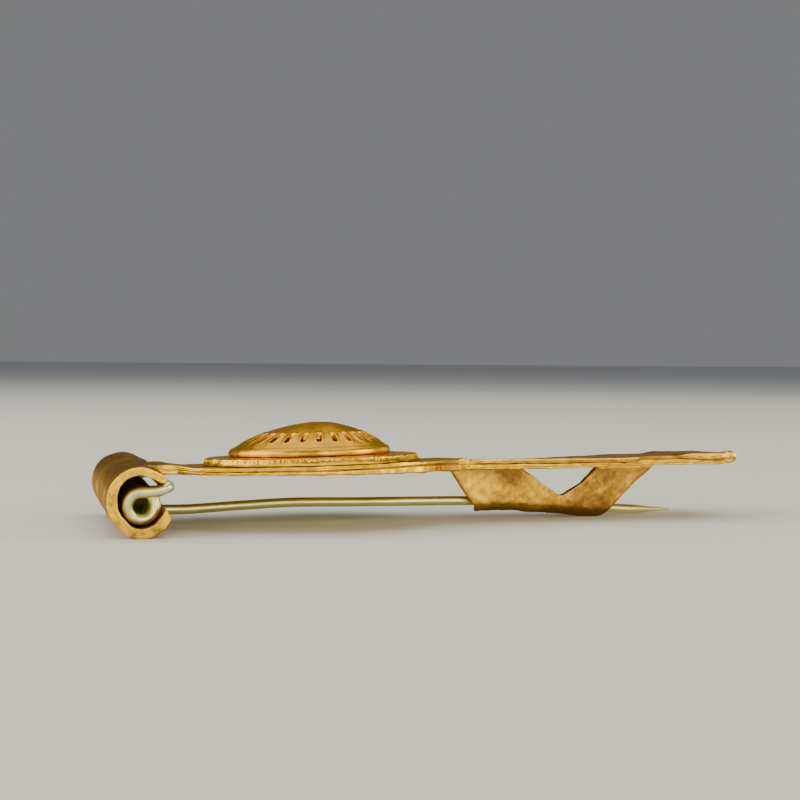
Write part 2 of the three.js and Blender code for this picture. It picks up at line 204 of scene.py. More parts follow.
# %% Bar section
def bar_section(across, up, rounding=4):
    """A rounded rectangle's loop: (side, side rounding, level, level rounding) for each point.

    A point lies at side * (half width - radius) + side rounding * radius across, and in the
    same way up, with side and level from -1 to 1.
    """
    turn = np.radians(np.linspace(0, 90, rounding + 1))
    run = np.linspace(-1, 1, across)
    rise = np.linspace(-1, 1, up)
    sides = []
    for k, (n, spread) in enumerate(((across, run), (up, rise), (across, -run), (up, -rise))):
        moving, fixed = ((0, 2), (2, 0))[k % 2]
        flat = np.zeros((n, 4))
        flat[:, moving] = spread
        flat[:, fixed] = flat[:, fixed + 1] = (-1, 1, 1, -1)[k]
        sides.append(flat)
        a = turn[1:-1] + np.radians(90 * k - 90)
        corner = np.zeros((len(a), 4))
        corner[:, 0], corner[:, 2] = ((1, -1), (1, 1), (-1, 1), (-1, -1))[k]
        corner[:, 1], corner[:, 3] = np.cos(a), np.sin(a)
        sides.append(corner)
    return np.concatenate(sides)


def bar(x, half_width, low, top, section, radius=0.12):
    """Grid of a bar laid along x: each row is the section at one station.

    The radius is never more than a little under half the thickness.
    """
    side, side_r, level, level_r = section.T
    r = np.minimum(radius, (top - low)[:, None] / 2.01)
    y = side * (half_width[:, None] - r) + side_r * r
    z = (low + top)[:, None] / 2 + level * ((top - low)[:, None] / 2 - r) + level_r * r
    return np.stack([np.broadcast_to(x[:, None], y.shape), y, z], -1)


print("a plate's section has", len(bar_section(36, 22)), "points")

# %% [markdown]
# ## The spring case
# The case is one thick sheet curled round the spring. It isn't a true cylinder: it was closed with
# a hammer, so its back is flatter, and its lips are cut by hand. A cylinder with a slot sawn out
# would be too even. The bar section is carried round an arc instead, and its radius and wall are
# functions of the angle, so that each flat place is one row in a table.

# %% Case sizes
CASE_HALF, CASE_R, CASE_Z = 12.0, 3.6, 3.55  # half its length, its outside, its axis' height
WALL, WALL_SWING, WALL_NEAR = 0.94, 0.135, 0.16  # thickness, its swing round the arc, more at one end
UPPER_LIP, TIP, CASE_ARC = 41.4, 7.6, 297  # degrees: the upper lip, its rounded tip, the whole arc
LOWER_LIP_OUTER, LOWER_LIP_INNER = 330.0, 346.0
SKEW = 0.66  # how far the far end leans towards the foot
CASE_EDGE, LIP_EDGE = 0.14, 0.13  # rounding of the end rims in mm, and of the wall as a share
CASE_DENTS = (  # depth at the far end and at the near one, angle in degrees, spread
    (0.2, 0.2, 226, 20),
    (0.24, 0.12, 64, 15),
    (0, 0.19, 185, 40),
    (0, 0.15, 330, 25),
    (-0.28, 0, 142, 32),
)


def skew(y):
    """How far the case leans towards the foot at y, from none at the near end."""
    return SKEW * (1 + y / CASE_HALF) / 2


def case_radius(deg, near):
    """The outside less each dent, which is its depth at this end times a hump at its angle."""
    return CASE_R - sum(mix(far, close, near) * bell(deg, at, wide) for far, close, at, wide in CASE_DENTS)


print("case:", 2 * CASE_HALF, "mm long,", 2 * CASE_R, "mm across,", len(CASE_DENTS), "dents")

# %% Case
def case_grid():
    """Radius from the axis: the outside less the wall, at an angle round the axis."""
    side, side_r, level, level_r = bar_section(84, 9).T
    share = TIP / CASE_ARC
    s = np.concatenate([
        share * (1 - np.cos(np.linspace(0.1, np.pi / 2, 8))),
        np.linspace(share, 1, 96)[1:-1],
        [0.9975, 1.0],
    ])[:, None]
    shrink = np.sqrt(1 - np.clip(1 - s / share, 0, 1) ** 2)
    shrink[-1] = 0.9
    out = level * (1 - LIP_EDGE) + level_r * LIP_EDGE  # -1 inside the wall, 1 outside it
    end = mix(LOWER_LIP_INNER, LOWER_LIP_OUTER, (out + 1) / 2)
    deg = UPPER_LIP + s * (end - UPPER_LIP)
    y = np.broadcast_to(side * (CASE_HALF - CASE_EDGE) + side_r * CASE_EDGE, deg.shape)
    near = (1 - y / CASE_HALF) / 2
    wall = WALL - WALL_SWING * np.sin(np.radians(deg)) + WALL_NEAR * near**2 * bell(deg, 175, 45)
    r = case_radius(deg, near) - wall / 2 + out * wall / 2 * shrink
    a = np.radians(deg)
    return np.stack([r * np.cos(a) + skew(y), y, CASE_Z + r * np.sin(a)], -1)


case = skin("case", case_grid())
print("case:", len(case.data.vertices), "points")

# %% [markdown]
# ## The bow plate
# The plate is an oval between a neck at the case and a waist before the foot. It could be cut out
# of a sheet by its plan, but its edge is what shows from the side, and is the hard part. So it is
# a bar whose width follows the oval, and the edge is worked in the bar's section: a shallow groove
# runs along it, and the lower lip is ragged where it was trimmed with a chisel.

# %% Plate sizes
PLATE_CENTRE, PLATE_LONG, PLATE_WIDE = 18.95, 16.0, 11.5  # middle, half length and half width
NECK, FLARE, NECK_END, WAIST = 5.0, 1.5, 4.0, 5.0  # half widths, and where the neck's flare ends
PLATE_START, INSIDE_CLEAR, FOOT_START = 0.8, 1.92, 36.15  # inside the case's wall, clear of it, end
PLATE_LOW, NECK_LOW = 5.6, 6.25
TOP_FROM, TOP_TO = (8, 6.3), (30, 6.82)  # (x, height) of two points on the plate's top
TWIST, TWIST_Z = np.radians(2.3), 6.4
PLATE_EDGE = 0.14


def plate_low(x):
    """The underside: level, and higher where it runs through the case's wall."""
    return np.where(x < INSIDE_CLEAR, NECK_LOW, PLATE_LOW)


def top_line(x):
    """The straight line through the two points on the top, level before the first."""
    return mix(TOP_FROM[1], TOP_TO[1], np.clip((x - TOP_FROM[0]) / (TOP_TO[0] - TOP_FROM[0]), 0, 1))


def plate_top(x):
    """Straight under the disc, and swept up on to the case at the head."""
    sweep = 0.55 * np.exp(-(x - PLATE_START) / 1.6) + 0.28 * bell(x, 3.6, 1.6)
    return top_line(x) + sweep


def plate_half_width(x):
    """An oval, or the neck and the waist where those are wider."""
    t = np.clip((x - PLATE_CENTRE) / PLATE_LONG, -1, 1)
    flare = FLARE * np.clip((NECK_END - x) / (NECK_END - PLATE_START), 0, 1) ** 2
    neck = np.where(x < PLATE_CENTRE, NECK + flare, WAIST)
    return np.maximum(PLATE_WIDE * np.sqrt(1 - t * t), neck)


print("plate:", 2 * PLATE_WIDE, "mm wide,", round(float(top_line(20) - PLATE_LOW), 2), "mm thick")

# %% [markdown]
# ## A worked edge
# The edges of the plate and of the foot are grooved and torn. A bump in the finish would show
# neither in outline, and a sharp displacement would need far more faces. As the bar's section says
# which points are on an edge, and how high, those points alone are moved in and out.

# %% Plate
GROOVE, LIP_HEAD, LIP_FOOT = 0.1, 0.14, 0.03  # depth of the groove, reach of the torn lip
SECOND_GROOVE = 0.62  # how far below the first, in levels


def twisted(grid):
    """Turns points about a line along the brooch, just inside the plate."""
    y, z = grid[..., 1], grid[..., 2] - TWIST_Z
    return np.stack([
        grid[..., 0],
        y * np.cos(TWIST) + z * np.sin(TWIST),
        TWIST_Z - y * np.sin(TWIST) + z * np.cos(TWIST),
    ], -1)


def worked_edge(grid, section, course, groove, lip, seed):
    """Cuts a groove along a bar's edges, at a level from -1 to 1, and tears the lip below it.

    The groove's level wanders about its course. The lip stands out by the positive part of
    waves a millimetre long, so that it breaks into teeth with gaps between them.
    """
    side, _, level, level_r = section.T
    on_edge = np.abs(side) == 1
    high = np.broadcast_to((level * 0.85 + level_r * 0.15) * on_edge, grid.shape[:2])
    wander = course + 0.07 * waves(grid * [1, 0, 0], 6, seed)
    cut = groove * bell(high, wander, 0.15) + 0.4 * groove * bell(high, wander + SECOND_GROOVE, 0.08)
    teeth = np.clip(1.6 * waves(grid * [1, 1, 0.3], 1.0, seed + 1) + 0.35, -0.3, 1)
    torn = lip * teeth * ease(wander - high, 0.12, 0.3)
    grid[..., 1] += (torn - cut) * on_edge * np.sign(side)
    return grid


def groove_course(x):
    """The groove's level on the plate's edge: below the middle at the head, above it at the foot."""
    return mix(-0.1, 0.28, ease(x, 14, 32))


def plate_grid():
    """The bar over the plate's stations, worked on its edges less and less towards the neck."""
    section = bar_section(36, 22)
    x = np.concatenate([
        np.linspace(PLATE_START, INSIDE_CLEAR - 0.02, 6),
        np.linspace(INSIDE_CLEAR, 33, 220),
        np.linspace(33, 34.2, 14)[1:],
        np.linspace(34.3, FOOT_START, 8),
    ])
    grid = bar(x, plate_half_width(x), plate_low(x), plate_top(x), section, PLATE_EDGE)
    on_plate = ease(grid[..., 0], 3, 9)
    lip = mix(LIP_HEAD, LIP_FOOT, ease(grid[..., 0], 11, 19)) * mix(0.4, 1, on_plate)
    groove = GROOVE * mix(0.3, 1, on_plate)
    return twisted(worked_edge(grid, section, groove_course(grid[..., 0]), groove, lip, seed=3))


plate = skin("plate", plate_grid())
print("plate:", len(plate.data.vertices), "points")

# %% [markdown]
# ## The foot
# The foot is two layers. The lower one is cast with the plate, and its head end is folded up
# round the start of the upper one. The two could be one bar with a line cut into it, but a real
# seam has two rims and a shadow between them. So each layer is a bar of its own, and both ask one
# function, `seam`, how high they meet: it is level, then rises to a fold near the far end.

# %% Foot sizes
FOOT_END, FOOT_HALF, FOOT_EDGE = 67.4, 5.6, 0.11
SHOULDER, SHOULDER_END, SHOULDER_TOP = 35.3, 36.4, 6.96  # the fold round the upper layer's start
OVERLAY_START, OVERLAY_END, OVERLAY_SLANT, OVERLAY_TOP = 36.45, 68.3, 0.7, 6.88
SEAM_Z, SEAM_STEP, SEAM_KNICK = 6.42, 0.32, (61.1, 0.08)  # level, rise of the fold, (x, rise) of a knick
BASE_BELOW, OVERLAY_BELOW = 0.05, 0.03  # how far under the seam's height each layer's face lies
SAG = 0.36  # how far the foot's far side hangs at its start
ALONG = np.array([1.0, 0, 0])  # keeps waves the same right across the foot


def foot_low(x):
    """The underside, which rises from one level to another along the foot."""
    return mix(5.76, 6.05, ease(x, 46, 60))


def seam(x):
    """The height where the layers meet: level, then a step up that sinks back, with a knick."""
    wander = 0.03 * waves(x[:, None] * ALONG, 5, 21) * ease(x, 37, 40)
    step = SEAM_STEP * ease(x, 56.3, 57.1) * (1 - 0.55 * ease(x, 61.5, 66))
    return SEAM_Z + wander + step + SEAM_KNICK[1] * bell(x, SEAM_KNICK[0], 0.6)


def warp(grid):
    """Lowers the foot's far side by the sag, less and less along the foot and towards the near side."""
    share = (1 - ease(grid[..., 0], 44, 57)) * (1 + grid[..., 1] / FOOT_HALF) / 2
    grid[..., 2] -= SAG * share
    return grid


print("foot: from", SHOULDER, "to", OVERLAY_END + OVERLAY_SLANT, "mm, and", 2 * FOOT_HALF, "mm wide")

# %% Foot base
def foot_base_grid():
    """A bar that widens from the waist, has a bead on its fold, and then ends at the seam."""
    section = bar_section(20, 14)
    x = np.concatenate([
        np.linspace(SHOULDER, SHOULDER_END, 20),
        np.linspace(SHOULDER_END + 0.02, FOOT_END, 190),
    ])
    wide = mix(WAIST, FOOT_HALF - 0.02, ease(x, SHOULDER, SHOULDER_END - 0.3))
    bead = 0.1 * bell(x, SHOULDER_END - 0.35, 0.3) - 0.2 * ease(x, SHOULDER_END - 0.2, SHOULDER_END)
    top = np.where(x <= SHOULDER_END, SHOULDER_TOP + bead, seam(x) - BASE_BELOW)
    grid = bar(x, wide, foot_low(x), top, section, FOOT_EDGE)
    return twisted(warp(worked_edge(grid, section, course=-0.25, groove=0.05, lip=0.09, seed=5)))


foot_base = skin("foot_base", foot_base_grid())
print("foot base:", len(foot_base.data.vertices), "points")

# %% [markdown]
# ## The foot's upper layer
# A strip lies on the foot. It is cut on a slant, and its end was rolled up with pliers, so the
# roll is thick at one corner. The strip could be curled on itself in the mesh, but the inside of
# so tight a roll is never seen. So rings are set along the strip's end, each one as thick and as
# long as the roll is there, and the two are joined.

# %% Overlay strip
OVERLAY_EDGE = 0.09
RIDGE, SWELL, START_DROP = 0.27, 0.15, 0.1  # rises of the top at the far end and over the fold, and a drop


def overlay_grid():
    """A bar from the seam to the top line, with each point of its far end moved on by the slant."""
    section = bar_section(40, 14)
    x = np.linspace(OVERLAY_START, OVERLAY_END, 200)
    rise = RIDGE * ease(x, 61.1, 63.3) + SWELL * ease(x, 54, 59)
    top = OVERLAY_TOP + rise - START_DROP * (1 - ease(x, OVERLAY_START, 37.1))
    grid = bar(x, np.full_like(x, FOOT_HALF), seam(x) - OVERLAY_BELOW, top, section, OVERLAY_EDGE)
    worked_edge(grid, section, course=0.1, groove=0.03, lip=0.03, seed=7)
    slant = OVERLAY_SLANT / 2 * ease(grid[..., 0], FOOT_START + 20, OVERLAY_END)
    grid[..., 0] += slant * (1 + grid[..., 1] / FOOT_HALF)
    return twisted(warp(grid))


strip = skin("foot_overlay_worked", overlay_grid())
print("strip:", len(strip.data.vertices), "points")

# %% Overlay roll
ROLL_R, ROLL_NEAR, ROLL_FAR, CORNER = 0.46, 0.27, 0.09, 1.7  # radius, more at each end, their spread
ROLL_LONG, ROLL_BACK, ROLL_Z = 0.55, 0.45, 6.87  # longer by this share, back from the end, height
END_ROUND, END_SHARE = 0.25, 0.72  # length of each rounded end, and its size where it starts


def roll_grid():
    """Rings round a line along the foot's end, thick at the near corner."""
    y = np.linspace(-FOOT_HALF, FOOT_HALF, 70)
    near, far = bell(y, -FOOT_HALF, CORNER), bell(y, FOOT_HALF, CORNER)
    from_end = np.clip((FOOT_HALF - np.abs(y)) / END_ROUND, 0, 1)
    r = (ROLL_R + ROLL_NEAR * near + ROLL_FAR * far) * mix(END_SHARE, 1, np.sqrt(1 - (1 - from_end) ** 2))
    long = r * (1 + ROLL_LONG * near)
    end = mix(OVERLAY_END, OVERLAY_END + OVERLAY_SLANT, (y + FOOT_HALF) / (2 * FOOT_HALF))
    x = end - ROLL_BACK + 0.08 * near
    z = ROLL_Z - 0.1 * (1 - bell(y, -FOOT_HALF, 4.25))
    a = np.linspace(0, 2 * np.pi, 41)[:-1]
    x, y, z, r, long = (v[:, None] for v in (x, y, z, r, long))
    return twisted(np.stack([x + long * np.cos(a), y + 0 * a, z + r * np.sin(a)], -1))


overlay = joined(strip, [skin("roll", roll_grid())])
print("overlay:", len(overlay.data.vertices), "points")

# %% [markdown]
# ## The catchplate
# A sheet hangs from the foot, and its lower edge is curled under the pin and up again. It could be
# bent with a modifier, but its outline is plainest when seen flat. So the curl is worked out as a
# section along the brooch, then cut to its side outline with blocks. A voxel remesh at the end,
# and a little smoothing, soften every cut edge as filing would.

# %% Catch sizes
CATCH_Y, CATCH_THICK, CATCH_THIN = -1.15, 0.9, 0.3  # the sheet's middle, its thickness, the curl's
CURL, LIP, REACH, CATCH_TOP = 1.15, 2.0, 1.0, 6.25  # the curl's radius, the lip's height and place, the top
CATCH_OUTLINE = [
    (35.55, 7.2), (35.55, 5.7), (40.0, -1), (53.2, -1), (54.1, 0.1), (57.9, 3.9), (60.4, 5.9),
    (60.4, 7.2),
]
CATCH_V = [(43.75, 6.0), (48.35, 2.76), (48.8, 2.62), (49.3, 2.78), (51.35, 4.0), (53.4, 6.0)]
LIP_CUT = [(34.5, -1), (41.5, -1), (43, 7.2), (34.5, 7.2)]
CLEAR_OF_WALL = -0.4  # the lip alone is cut from this y on
FILED, FILE_STROKES = 0.13, 4  # size of a voxel in mm, and rounds of smoothing


def catch_low(x):
    """The curl's lowest line: high at its start, down to the table, with a hump under the notch."""
    return 0.86 * (1 - ease(x, 42, 53.2)) + 0.12 * bell(x, 49, 1.8) - 0.04


print("catch: the pin's bed is", round(REACH - CATCH_Y - (CATCH_THICK + CATCH_THIN) / 2, 2), "mm wide")

# %% Catch section
def catch_grid():
    """Down from the foot, half round below the pin, up to the lip, and back by the inside."""
    x = np.linspace(35.2, 60.8, 90)
    low = catch_low(x)[:, None]
    deg = np.linspace(182, 358, 23)
    a = np.radians(deg)

    def wall(inset, y_top, lip_y, shoulder):
        """One face of the sheet: two points down, a half circle less the inset, and the lip."""
        half = np.where(deg > 270, REACH + CATCH_THIN / 2, CATCH_THICK / 2 - CATCH_Y) - inset
        y = np.concatenate([[y_top, y_top], half * np.cos(a), [lip_y]])
        drop = CURL + (CURL - inset) * np.sin(a)
        z = np.concatenate([CATCH_TOP + 0 * low, low + shoulder * CURL, low + drop, low + LIP], 1)
        return np.stack([np.broadcast_to(y, z.shape), z], -1)

    outer = wall(0, CATCH_Y - CATCH_THICK / 2, REACH + CATCH_THIN / 2, shoulder=1.1)
    inner = wall(CATCH_THIN, CATCH_Y + CATCH_THICK / 2, REACH - CATCH_THIN / 2, shoulder=1.9)
    loop = np.concatenate([outer, inner[:, ::-1]], 1)
    return np.concatenate([np.broadcast_to(x[:, None, None], (*loop.shape[:2], 1)), loop], -1)


def capped(grid):
    """Adds end rows in which the outer points lie on the inner ones, so both ends close."""
    half = grid.shape[1] // 2
    ends = []
    for row in (grid[:1], grid[-1:]):
        middle = (row[:, :half] + row[:, half:][:, ::-1]) / 2
        ends.append(np.concatenate([middle, middle[:, ::-1]], 1))
    return np.concatenate([ends[0], grid, ends[1]])


catch = skin("catch", capped(catch_grid()), close=False)
print("catch, uncut:", len(catch.data.vertices), "points")

# %% Catch cut to shape
def prism_faces(n, base=0):
    """Sides and ends of a prism whose n lower corners start at base, followed by its upper ones."""
    k = base + np.arange(n)
    j = base + (np.arange(n) + 1) % n
    return [*np.stack([k, j, j + n, k + n], -1).tolist(), k[::-1].tolist(), (k + n).tolist()]


def slab(name, outline, y_from, y_to):
    """A block to cut with: a side view's outline of (x, z), set at two places across the brooch."""
    corners = np.concatenate([np.insert(np.array(outline, float), 1, y, axis=1) for y in (y_from, y_to)])
    return closed(mesh_object(name, corners, prism_faces(len(outline))), flat_sided=True)


joined(catch, [slab("outline", CATCH_OUTLINE, -4, 4)], "INTERSECT")
joined(catch, [slab("v", CATCH_V, -4, 4), slab("lip", LIP_CUT, CLEAR_OF_WALL, 4)], "DIFFERENCE")
soften = catch.modifiers.new("soften", "REMESH")
soften.mode, soften.voxel_size = "VOXEL", FILED
rub = catch.modifiers.new("rub", "SMOOTH")
rub.iterations, rub.factor = FILE_STROKES, 0.5
applied(catch)
print("catch:", len(catch.data.vertices), "points")

# %% [markdown]
# ## One casting
# The case, the plate, the lower layer of the foot and the catchplate were cast as one. Left as
# four meshes they would show a hard line wherever two cross, so they are added into one closed
# surface. The notch that lets the pin out through the case's lower lip is taken away first.

# %% Cast body
NOTCH_X, NOTCH_Z, NOTCH_HALF = (0.45, 7.2), (1.02, 3.6), 1.1
corners = [(NOTCH_X[i], NOTCH_Z[j]) for i, j in ((0, 0), (1, 0), (1, 1), (0, 1))]
notch = slab("notch", corners, -NOTCH_HALF, NOTCH_HALF)
body = joined(joined(case, [notch], "DIFFERENCE"), [plate, foot_base, catch])
body.name = "cast_body"
print("cast body:", len(body.data.polygons), "faces")

# %% [markdown]
# ## Turned forms
# The disc and the dome are round, as if turned on a lathe, with something worked round them.
# Blender's Screw modifier would turn a profile too, but the marks need each point's own angle. So
# a profile of radius and height is carried round with numpy, and is then set on the plate.

# %% Turned surfaces
DISC_X, DISC_R, DISC_CROWN, TILT = 19.85, 11.95, 0.8, np.radians(1.3)
DOME_R, DOME_H, DOME_WALL, DOME_DROP = 8.92, 3.56, 0.55, 0.0375
SEAT_Z = top_line(DISC_X) + 0.05


def turned(profile, columns):
    """Carries a profile of (radius, height) once round the upright axis."""
    a = np.linspace(0, 2 * np.pi, columns + 1)[:-1]
    r, z = profile[:, 0:1], profile[:, 1:2]
    return np.stack([r * np.cos(a), r * np.sin(a), z + 0 * a], -1)


def on_bow(grid):
    """Sets a turned form down on the plate, with the plate's tilt and twist."""
    x, z = grid[..., 0], grid[..., 2]
    return twisted(np.stack([
        DISC_X + x * np.cos(TILT) - z * np.sin(TILT),
        grid[..., 1],
        SEAT_Z + x * np.sin(TILT) + z * np.cos(TILT),
    ], -1))


def rim_profile(radius, corners, spacing):
    """Points at even spacing along a line of corners, each (how far inside the radius, height)."""
    corners = np.array(corners, float) * [-1, 1] + [radius, 0]
    walked = np.concatenate([[0], np.cumsum(np.linalg.norm(np.diff(corners, axis=0), axis=1))])
    stops = np.linspace(0, walked[-1], int(walked[-1] / spacing) + 2)
    return np.stack([np.interp(stops, walked, corners[:, k]) for k in (0, 1)], -1)


print("disc and dome sit", round(float(SEAT_Z), 3), "mm up, tilted", round(np.degrees(TILT), 2), "degrees")

# %% [markdown]
# ## The disc
# The disc's rim flares at its foot and carries a band of small nicks from a punch. No two are
# alike, and a texture would repeat them or lose their depth in outline. Here each nick is a hump
# in angle and height with its own place, depth and size, and the rim is pushed in by the deepest
# nick at each point. The random numbers have a seed, so that every run strikes the same ones.

# %% Disc
DISC_RIM = [  # how far in from the rim, height
    (0.1, 0), (0, 0.06), (0.14, 0.2), (0.23, 0.34), (0.33, 0.62), (0.37, 0.7), (0.45, 0.74),
    (1.2, 0.77), (DISC_R - DOME_R + 0.3, DISC_CROWN),
]
NICKS, STRAY, LEAN = 190, 0.4, 0.25  # how many, how far off in steps, how much each one leans
NICK_DEEP, NICK_WIDE, NICK_HIGH, NICK_Z = (0.02, 0.16), (0.07, 0.13), (0.1, 0.18), (0.46, 0.58)


def nicks(angle, z):
    """The deepest nick at each point: its depth, times a hump round the rim and one in height."""
    rng = np.random.default_rng(11)
    cut = np.zeros_like(z)
    for k in range(NICKS):
        struck = (k + rng.uniform(-STRAY, STRAY)) / NICKS * 2 * np.pi
        lean = rng.normal(0, LEAN)
        deep, wide, high, level = (rng.uniform(*span) for span in (NICK_DEEP, NICK_WIDE, NICK_HIGH, NICK_Z))
        aside = np.angle(np.exp(1j * (angle - struck))) * DISC_R + lean * (z - 0.5)
        cut = np.maximum(cut, deep * bell(aside, 0, wide) * bell(z, level, high))
    return cut


def disc_grid():
    """The profile turned, its radius less the nicks on the rim, and its top a little uneven."""
    under, flat = np.array([(0, 0), (8, 0)]), np.array([(6, DISC_CROWN), (0, DISC_CROWN)])
    grid = turned(np.concatenate([under, rim_profile(DISC_R, DISC_RIM, 0.065), flat]), 1080)
    radius, z = np.hypot(grid[..., 0], grid[..., 1]), grid[..., 2]
    on_rim = ease(radius, DISC_R - 0.75, DISC_R - 0.55)
    uneven = np.minimum(0.035 * waves(grid, 1.6, 12) * on_rim, 0.02)
    cut = nicks(np.arctan2(grid[..., 1], grid[..., 0]), z) * on_rim
    grid[..., :2] *= (1 - (cut - uneven) / np.maximum(radius, 1))[..., None]
    grid[..., 2] += 0.02 * waves(grid, 1.3, 13) * ease(z, 0.3, 0.6) * ease(radius, 7, 9)
    return on_bow(grid)


disc = skin("stepped_disc", disc_grid(), close=False)
print("disc:", len(disc.data.vertices), "points,", NICKS, "nicks")

# %% [markdown]
# ## The dome
# The dome is a hollow shell with a rounded rim, pierced by slots that point to its middle. They
# were punched from above, so their edges stand up a little. A Boolean gives clean slots in a shell
# that is turned in one piece. The raised edges come first, from how far each point is from the
# nearest slot's outline, so that they follow the slots exactly.

# %% Dome shell
SLOT_COUNT, SLOT_R, SLOT_LONG, SLOT_WIDE, SLOT_FIRST = 26, 6.5, 1.95, 0.58, 0.11
PER_SLOT = 24  # columns of the shell to each slot
DOME_RIM = [  # how far in from the rim, height
    (0.5, 0.91), (0.36, 0.85), (0.2, 0.74), (0.07, 0.56), (0, 0.34), (0.04, 0.12), (0.16, 0), (0.75, 0),
]
TO_RIM, VALLEY, BURR = 0.62, 0.015, 0.07  # where the curve meets the rim, a dip there, the raised edges


def dome_outside(r):
    """The height at a radius: the top, less a drop that grows with the radius squared."""
    return DOME_H - DOME_DROP * r * r


def slot_distance(x, y):
    """How far a point is from the nearest slot's outline, in plan; below 0 is inside it."""
    step = 2 * np.pi / SLOT_COUNT
    angle = np.arctan2(y, x) - SLOT_FIRST * step
    off = (angle - step * np.round(angle / step)) * np.hypot(x, y)
    half = (SLOT_LONG - SLOT_WIDE) / 2
    past = np.clip(np.abs(np.hypot(x, y) - SLOT_R) - half, 0, None)
    return np.hypot(off, past) - SLOT_WIDE / 2


def dome_grid():
    """The outside from the top to the rim, and back to the middle by the inside of the wall."""
    top = np.linspace(0.02, DOME_R - TO_RIM, 56)
    outer = np.stack([top, dome_outside(top) - VALLEY * bell(top, DOME_R - TO_RIM, 0.2)], -1)
    low = np.linspace(DOME_R - 0.95, 0.02, 24)
    inner = np.stack([low, dome_outside(low) - DOME_WALL], -1)
    first, last = [(0, DOME_H)], [(0, DOME_H - DOME_WALL)]
    profile = np.concatenate([first, outer, rim_profile(DOME_R, DOME_RIM, 0.07), inner, last])
    grid = turned(profile, SLOT_COUNT * PER_SLOT)
    x, y = grid[..., 0], grid[..., 1]
    outside = np.arange(len(profile))[:, None] < len(top) + 1
    burr = BURR * bell(slot_distance(x, y), 0.1, 0.14)
    uneven = 0.02 * waves(grid, 2.4, 31) * ease(DOME_R - 1 - np.hypot(x, y), 0, 1)
    grid[..., 2] += (burr + uneven) * outside
    return grid


shell = skin("pierced_dome", dome_grid(), close=False)
print("shell:", len(shell.data.vertices), "points")

# %% Dome slots
SLOT_CUT = (0.9, 4.0)  # heights between which the slots are cut


def slot_cutters():
    """Upright prisms with rounded ends: one outline in plan, turned to each slot's angle."""
    half, w = (SLOT_LONG - SLOT_WIDE) / 2, SLOT_WIDE / 2
    turn = np.radians(np.linspace(-90, 90, 9))
    cap = np.stack([half + w * np.cos(turn), w * np.sin(turn)], -1)
    x, y = (np.concatenate([cap, -cap]) + [SLOT_R, 0]).T
    a = ((np.arange(SLOT_COUNT) + SLOT_FIRST) / SLOT_COUNT * 2 * np.pi)[:, None]
    points = np.empty((SLOT_COUNT, 2, len(x), 3))
    points[..., 0] = (x * np.cos(a) - y * np.sin(a))[:, None]
    points[..., 1] = (x * np.sin(a) + y * np.cos(a))[:, None]
    points[..., 2] = np.array(SLOT_CUT)[:, None]
    faces = [face for k in range(SLOT_COUNT) for face in prism_faces(len(x), 2 * len(x) * k)]
    return mesh_object("slots", points.reshape(-1, 3), faces)


dome = joined(shell, [slot_cutters()], "DIFFERENCE")
print("dome:", SLOT_COUNT, "slots,", len(dome.data.polygons), "faces")

# %% [markdown]
# ## Setting the dome down
# The real dome leans: its top sits a little nearer the foot than the middle of its rim. It could be
# turned as a whole, but its rim lies flat on the disc. So each point is moved along by the square of its
# height, which leaves the rim where it is. Points are read and written as one long array.

# %% Dome on the disc
APEX_SHIFT, DOME_BACK, BED = 0.95, 0.2, 0.05  # of the top to the foot, of all to the head, over the disc


def points_of(made):
    """An object's points as an array, one row for each."""
    at = np.empty(len(made.data.vertices) * 3)
    made.data.vertices.foreach_get("co", at)
    return at.reshape(-1, 3)


def write_points(made, at):
    """Puts an array of points back into an object's mesh."""
    made.data.vertices.foreach_set("co", np.ascontiguousarray(at).ravel())
    made.data.update()


at = points_of(dome)
at[:, 0] += APEX_SHIFT * (np.clip(at[:, 2], 0, None) / DOME_H) ** 2 - DOME_BACK
at[:, 2] += DISC_CROWN + BED
write_points(dome, on_bow(at))
print("dome: top at", round(float(points_of(dome)[:, 2].max()), 2), "mm")

# %% [markdown]
# ## Wire
# The spring and the pin are drawn wire. A curve object with a bevel would give a wire at once. But
# the pin tapers to a point, and every section should be set square by a rule that can't flip. So a
# circle is carried along a path with numpy, and a direction that is never along the wire gives
# each circle its first radius.

# %% Wire along a path
def smooth_path(points, per_span):
    """Catmull and Rom's curve: each span is a cubic through two points, set by the next two."""
    p = np.concatenate([2 * points[:1] - points[1:2], points, 2 * points[-1:] - points[-2:-1]])
    t = np.linspace(0, 1, per_span + 1)[:-1][None, :, None]
    a, b, c, d = (p[k : len(p) - 3 + k, None, :] for k in range(4))
    square, cube = 2 * a - 5 * b + 4 * c - d, 3 * b - a - 3 * c + d
    curve = 0.5 * (2 * b + (c - a) * t + square * t**2 + cube * t**3)
    return np.concatenate([curve.reshape(-1, 3), points[-1:]])


def wire_grid(path, radius, outwards, sides=18):
    """A circle of the given radius round each point of a path, square to it, ends closed."""
    ahead = np.gradient(path, axis=0)
    ahead /= np.linalg.norm(ahead, axis=1, keepdims=True)
    first = outwards - (outwards * ahead).sum(1, keepdims=True) * ahead
    first /= np.linalg.norm(first, axis=1, keepdims=True)
    second = np.cross(ahead, first)
    a = np.linspace(0, 2 * np.pi, sides + 1)[:-1][None, :, None]
    r = np.broadcast_to(radius, len(path))[:, None, None]
    return path[:, None] + r * (np.cos(a) * first[:, None] + np.sin(a) * second[:, None])


corner = smooth_path(np.array([(0.0, 0, 0), (1, 0, 0), (1, 1, 0)]), 4)
print("three corners become", len(corner), "points on a smooth path")

# %% [markdown]
# ## The spring
# The spring is one wire: it winds out along one coil, crosses over in front as a chord, and winds
# back along the other. One half of that path is worked out, and the other half is its mirror image
# read backwards, so the wire has no join. It leans with the case.

